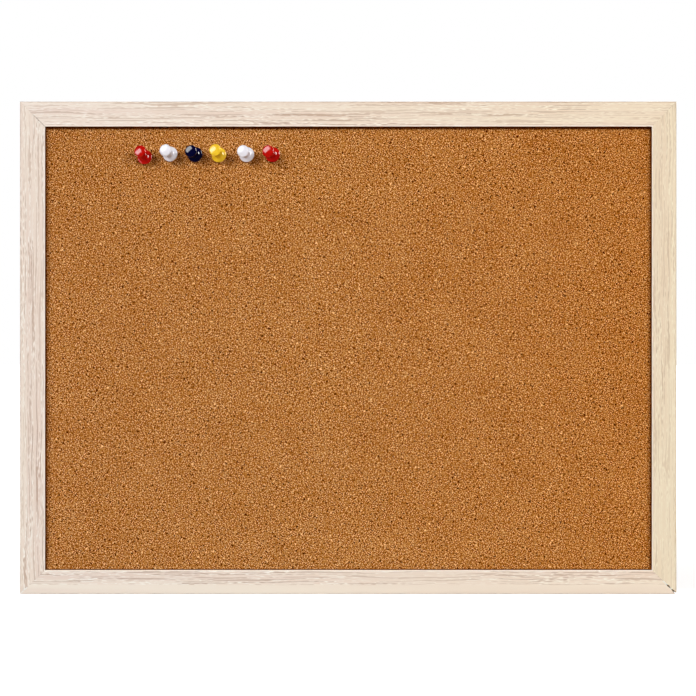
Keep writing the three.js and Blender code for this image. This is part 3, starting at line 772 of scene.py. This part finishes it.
def pinNeedle():
    p = pin
    radius, point = p["needle"] / 2, p["pointRadius"]
    top = p["height"] - p["needleRoof"] - p["roofGap"]
    tip = -p["needleLength"]
    pointTop, shank = (point, tip + 2 * point), (radius, tip + p["needleTip"])
    outline = joined(
        bend((0, tip), (point, tip), pointTop, p["pointSteps"]),
        bend(pointTop, (radius, tip + p["needleTip"] * p["tipShoulder"]), shank, p["tipSteps"]),
        [(radius, top), (0, top)])
    return turned(outline, p["needleSides"])


for number, colour in enumerate(pin["colours"], 1):
    body = f"pin_{number}"
    outward = Vector(joints[body + "_pull"]["axis"]).normalized()
    tip = min((vertex.co for vertex in nodes[body + "_needle"].data.vertices), key=outward.dot)
    place = outward.to_track_quat("Z", "Y").to_matrix().to_4x4()
    place.translation = tip + outward * mm(pin["needleLength"])
    head = makeObject(f"pin{number}Head", pinHead(), (plastics[colour],), place)
    dress(head, body, body + "_head", roundSharpAngle)
    needle = makeObject(f"pin{number}Needle", pinNeedle(), (drawnSteel,), place)
    dress(needle, body, body + "_needle", roundSharpAngle)
print("push pins made:", len(pin["colours"]))

# Hangers: a strap rolled into an eye, a bent wire ring in it, and a pan-head screw

hanger = {
    "strapWidth": 6.8, "strapThickness": 0.8, "strapEdge": 0.12, "screwDrop": 13.25, "strapTail": 4,
    "holeGap": 0.2, "eyeGap": 0.3, "innerSteps": 40, "outerSteps": 48, "tailSteps": 32, "holeSides": 45,
    "wire": 1.5, "ringSideGap": 0.5, "ringSide": 2.65, "ringCorner": 1.2, "buttGap": 0.4,
    "wireEdge": 0.2, "wireEdgeRun": 0.02, "wireSides": 20, "cornerSteps": 12, "bowSteps": 48,
    "screwHead": 5, "screwHeadHeight": 1.7, "headEdge": (0.15, 0.2), "headSink": 0.3, "headSides": 48,
    "headEdgeSteps": 4, "domeSteps": 14,
    "recessWidth": 0.7, "recessLength": 2.8, "recessDepth": 0.8,
    "shank": 2.6, "core": 1.9, "pitch": 1.1, "screwLength": 9, "screwTip": 2.5, "tipRadius": 0.05,
    "threadSink": 0.2, "threadSteps": 12, "threadSides": 24,
}


def strapObject(place):
    h = hanger
    thick, half = h["strapThickness"], h["strapWidth"] / 2
    inner = h["wire"] / 2 + h["eyeGap"]
    outer = inner + thick
    length = h["screwDrop"] + h["strapTail"]
    end = -math.degrees(math.acos((thick + h["eyeGap"]) / outer - 1))
    side = joined([(0, -length), (thick, -length)], arc((outer, 0), inner, 180, end, h["innerSteps"]),
                  arc((outer, 0), outer, end, 180, h["outerSteps"]))
    sideways = Matrix(((0, 0, 1, 0), (1, 0, 0, 0), (0, 1, 0, 0), (0, 0, 0, 1)))
    bent = bmesh.new()
    addPrism(bent, side, -half, half, sideways)
    strap = makeObject("strap", bent, (zincPlate,), place)
    # the blank's outline and its hole are cut through the bent strip from behind
    through = 4 * outer
    tail = arc((0, half - length), half, 180, 360, h["tailSteps"])
    hole = circle((0, -h["screwDrop"]), h["shank"] / 2 + h["holeGap"], h["holeSides"])
    for name, outline, operation in (("blank", [(half, 2 * outer), (-half, 2 * outer)] + tail, "INTERSECT"),
                                     ("hole", hole, "DIFFERENCE")):
        cutter = bmesh.new()
        addPrism(cutter, outline, -through, through, fromBack)
        combine(strap, makeObject(name, cutter, (zincPlate,), place), operation)
    easeEdges(strap, h["strapEdge"])
    return strap


def ringMesh():
    # a round wire swept along a flat path, its two ends meeting inside the strap's eye
    h = hanger
    half = h["strapWidth"] / 2 + h["ringSideGap"] + h["wire"] / 2
    corner, radius, butt = h["ringCorner"], h["wire"] / 2, h["buttGap"] / 2
    shoulder = corner + h["ringSide"]
    full = butt + h["wireEdgeRun"]
    path = joined(
        [(butt, 0), (full, 0)], arc((half - corner, corner), corner, -90, 0, h["cornerSteps"]),
        arc((0, shoulder), half, 0, 180, h["bowSteps"]),
        arc((corner - half, corner), corner, 180, 270, h["cornerSteps"]), [(-full, 0), (-butt, 0)])
    bm = bmesh.new()
    rings = []
    for i, (x, z) in enumerate(path):
        before, after = path[max(i - 1, 0)], path[min(i + 1, len(path) - 1)]
        run = Vector((after[0] - before[0], 0, after[1] - before[1])).normalized()
        across = Vector((run.z, 0, -run.x))
        size = radius - h["wireEdge"] if i in (0, len(path) - 1) else radius
        centre = Vector((x, 0, z))
        section = circle((0, 0), size, h["wireSides"])
        rings.append([bm.verts.new((centre + across * u + Vector((0, v, 0))) / 1000) for u, v in section])
    for first, second in zip(rings, rings[1:]):
        joinRings(bm, first, second)
    bm.faces.new(rings[0][::-1])
    bm.faces.new(rings[-1])
    return bm


def threadMesh():
    # a ridge winding round the core, down to the point
    h = hanger
    shank, core = h["shank"] / 2, h["core"] / 2
    bm = bmesh.new()
    rings = []
    count = round(h["screwLength"] / h["pitch"] * h["threadSteps"])
    for i in range(count + 1):
        depth = h["screwLength"] * i / count
        taper = min(1, (h["screwLength"] - depth) / h["screwTip"])
        ring = []
        for k in range(h["threadSides"]):
            turn = k / h["threadSides"]
            ridge = abs(((depth / h["pitch"] - turn) % 1) * 2 - 1) ** 3
            radius = max(h["tipRadius"], (core + (shank - core) * ridge) * taper)
            angle = 2 * math.pi * turn
            x, y, z = radius * math.cos(angle), radius * math.sin(angle), -h["threadSink"] - depth
            ring.append(bm.verts.new((mm(x), mm(y), mm(z))))
        rings.append(ring)
    for upper, lower in zip(rings, rings[1:]):
        joinRings(bm, lower, upper)
    bm.faces.new(rings[0])
    bm.faces.new(rings[-1][::-1])
    return bm


def screwObject(place):
    # turned about its own axis: the head's underside is at zero, the threaded shank points down
    h = hanger
    head, shank, sink, rise = h["screwHead"] / 2, h["shank"] / 2, h["headSink"], h["screwHeadHeight"]
    edgeWidth, edgeHeight = h["headEdge"]
    rim = (head, edgeHeight)
    outline = joined([(0, -sink), (shank, -sink), (shank, 0)],
                     bend((head - edgeWidth, 0), (head, 0), rim, h["headEdgeSteps"]),
                     bend(rim, (head, rise), (0, rise), h["domeSteps"]))
    screw = makeObject("screw", turned(outline, h["headSides"]), (zincPlate,), place)
    width, reach = h["recessWidth"] / 2, h["recessLength"] / 2
    arm = [(reach, -width), (reach, width), (width, width)]
    cross = []
    for quarter in range(4):
        cross += arm
        arm = [(-y, x) for x, y in arm]
    recess = bmesh.new()
    addPrism(recess, joined(cross), rise - h["recessDepth"], rise + overcut)
    combine(screw, makeObject("recess", recess, (zincPlate,), place), "DIFFERENCE")
    combine(screw, makeObject("thread", threadMesh(), (zincPlate,), place), "UNION")
    return screw


for name in ("left", "right"):
    hinge = joints[f"ring_{name}_swing"]
    pivot = Vector(hinge["pos_m"])
    plate = Matrix.Translation((pivot.x, 0, pivot.z))
    strap = strapObject(plate)
    strap.name = f"hangerStrap.{name}"
    dress(strap, "board", f"hanger_strap_{name}")
    low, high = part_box(f"hanger_ring_{name}")
    reach = high.z - pivot.z - mm(hanger["wire"] / 2)
    lean = math.asin((pivot.y - low.y - mm(hanger["wire"] / 2)) / reach)
    hanging = Matrix.Translation(pivot) @ Matrix.Rotation(lean, 4, "X")
    ring = makeObject(f"hangerRing.{name}", ringMesh(), (zincPlate,), hanging)
    dress(ring, f"ring_{name}", f"hanger_ring_{name}", roundSharpAngle)
    low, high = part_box(f"hanger_screw_{name}")
    seat = Vector((pivot.x, mm(hanger["strapThickness"]), (low.z + high.z) / 2))
    screw = screwObject(Matrix.Translation(seat) @ Matrix.Rotation(math.radians(-90), 4, "X"))
    screw.name = f"hangerScrew.{name}"
    dress(screw, "board", f"hanger_screw_{name}")
print("hangers made")

# Studio: a floor that the camera sees white, in front two lamps for light and shadows and two higher ones for
# the shine, two lamps behind, and a camera straight in front

studio = {
    # floor: width in metres, drop below the board in mm, its colour to the lamps and to the camera
    "floorSize": 40, "floorDrop": 0.2, "floorColour": "#9a7e66", "floorSeen": "#f2f2f2",
    "floorRoughness": 0.9,
    # share of what the camera sees near the board that the lamps light, and from and to how many metres away
    "floorLit": 0.55, "litRadius": (0.25, 0.8),
    # the rest of it, in front of the board and behind it, and where the one turns into the other
    "floorWhite": (2.0, 1.4), "whiteTurn": (-0.02, 0.02),
    # how bright the front of the room is in reflections, and where floor and walls turn white
    "room": 0.04, "floorTurn": (-0.1, 0.2), "wallTurn": (0.1, 0.5),
    "ambient": 0.065, "ambientColour": "#ffab66", "white": "#ffffff",
    # camera: distance, size of a pixel and of the sensor in mm, and the pixel where the board's middle is
    "distance": 1500, "pixels": 696, "pixelSize": 0.6093, "centrePixel": (348.25, 347.75), "sensor": 36,
}
lamps = (
    # name, place, width and height in metres, roll in degrees, power in watts, colour, what it gives
    ("keyLeft", (-4.13, -6.35, 3.37), (3.2, 2.3), 0, 432, "#f6fdff", "light"),
    ("keyRight", (3.68, -6.35, 1.84), (3.2, 2.3), 0, 306, "#f7feff", "light"),
    ("shineLeft", (-5.1, -6.0, 4.2), (5.2, 3.6), 50, 420, "#ffffff", "reflection"),
    ("shineRight", (5.0, -5.8, 4.9), (2.2, 4.2), 0, 850, "#fffefa", "reflection"),
    ("rearLeft", (-2.7, 3.8, 2.4), (2, 1.6), 0, 130, "#ffffff", "both"),
    ("rearRight", (2.7, 3.8, 2.4), (2, 1.6), 0, 130, "#ffffff", "both"),
)


def floorMaterial():
    # matt studio board, a dull brown to the lamps, so that it hardly brightens the object from below; the
    # camera sees it white, and reflections see it white behind the object and dim in front; near the object
    # a share of what the camera sees is lit by the lamps, so the floor keeps the object's shadow
    s = studio
    material, tree, surface = startMaterial("studio board")
    rays = addNode(tree, "LightPath").outputs
    lit, seen = linear(s["floorColour"]), linear(s["floorSeen"])
    board = addNode(tree, "Mix", {0: rays["Is Camera Ray"], 6: lit, 7: seen},
                    {"data_type": "RGBA"}).outputs[2]
    setInputs(tree, surface, {"Base Color": board, "Roughness": s["floorRoughness"]})
    spot = addNode(tree, "NewGeometry").outputs["Position"]
    backward = addNode(tree, "SeparateXYZ", {0: spot}).outputs["Y"]
    dim, bright = s["floorTurn"]
    room = addNode(tree, "MapRange", {0: backward, 1: dim, 2: bright, 3: s["room"], 4: 1})
    away = addNode(tree, "VectorMath", {0: spot}, {"operation": "LENGTH"}).outputs["Value"]
    near, far = s["litRadius"]
    own = addNode(tree, "MapRange", {0: away, 1: near, 2: far, 3: 1 - s["floorLit"], 4: 1},
                  {"interpolation_type": "SMOOTHSTEP"})
    front, back = s["floorWhite"]
    start, end = s["whiteTurn"]
    white = addNode(tree, "MapRange", {0: backward, 1: start, 2: end, 3: front, 4: back})
    mixed = surface
    for kind, share, strength in (("Is Camera Ray", own, white), ("Is Transmission Ray", own, white),
                                  ("Is Glossy Ray", 1, room)):
        glow = addNode(tree, "Emission", {"Color": linear(s["white"]), "Strength": strength})
        part = addNode(tree, "Math", {0: rays[kind], 1: share}, {"operation": "MULTIPLY"})
        mixed = addNode(tree, "MixShader", {0: part, 1: mixed, 2: glow})
    setInputs(tree, tree.nodes["Material Output"], {"Surface": mixed})
    return material


def makeFloor():
    half = studio["floorSize"] / 2
    height = cadBox[0].z - mm(studio["floorDrop"])
    bm = bmesh.new()
    corners = ((-half, -half), (half, -half), (half, half), (-half, half))
    bm.faces.new([bm.verts.new((x, y, height)) for x, y in corners])
    floor = makeObject("studioFloor", bm, (floorMaterial(),))


def makeWorld():
    # white for the camera, a white room behind and a dim one in front for reflections, and for the shadows a
    # soft, warm light, as if from wooden walls
    s = studio
    world = bpy.data.worlds.new("studio")
    scene.world = world
    world.use_nodes = True
    tree = world.node_tree
    rays = addNode(tree, "LightPath").outputs
    direction = addNode(tree, "TexCoord").outputs["Generated"]
    backward = addNode(tree, "SeparateXYZ", {0: direction}).outputs["Y"]
    dim, bright = s["wallTurn"]
    room = addNode(tree, "MapRange", {0: backward, 1: dim, 2: bright, 3: s["room"], 4: 1})
    mirrored = addNode(tree, "Math", {0: rays["Is Glossy Ray"], 1: rays["Is Transmission Ray"]},
                       {"operation": "MAXIMUM"})
    soft = addNode(tree, "Mix", {0: mirrored, 2: s["ambient"], 3: room}, {"data_type": "FLOAT"})
    strength, seen = (addNode(tree, "Math", {0: value, 1: rays["Is Camera Ray"]},
                              {"operation": "MAXIMUM"}) for value in (soft, mirrored))
    colour = addNode(tree, "Mix", {0: seen, 6: linear(s["ambientColour"]), 7: linear(s["white"])},
                     {"data_type": "RGBA"}).outputs[2]
    setInputs(tree, tree.nodes["Background"], {"Color": colour, "Strength": strength})


def makeLamps():
    # in front, the shadows come from two lamps and the shine on the pins from two others that stand higher
    for name, place, size, roll, power, colour, gives in lamps:
        lamp = bpy.data.lights.new(name, "AREA")
        lamp.shape = "RECTANGLE"
        lamp.size, lamp.size_y = size
        lamp.energy = power
        lamp.color = linear(colour)[:3]
        holder = bpy.data.objects.new(name, lamp)
        holder.location = place
        holder.rotation_mode = "QUATERNION"
        facing = Vector(place).to_track_quat("Z", "Y")
        holder.rotation_quaternion = facing @ Quaternion((0, 0, 1), math.radians(roll))
        holder.visible_diffuse = gives != "reflection"
        holder.visible_glossy = gives != "light"
        scene.collection.objects.link(holder)


def makeCamera():
    s = studio
    face = -mm(rail["depth"])
    offset = [mm(s["pixelSize"]) * (s["pixels"] / 2 - pixel) for pixel in s["centrePixel"]]
    lens = bpy.data.cameras.new("camera")
    lens.sensor_width = s["sensor"]
    lens.lens = s["sensor"] * s["distance"] / (s["pixels"] * s["pixelSize"])
    camera = bpy.data.objects.new("camera", lens)
    camera.location = (offset[0], face - mm(s["distance"]), -offset[1])
    camera.rotation_euler = (math.radians(90), 0, 0)
    scene.collection.objects.link(camera)
    scene.camera = camera


makeFloor()
makeWorld()
makeLamps()
makeCamera()
scene.view_settings.view_transform = "Standard"
print("studio made")
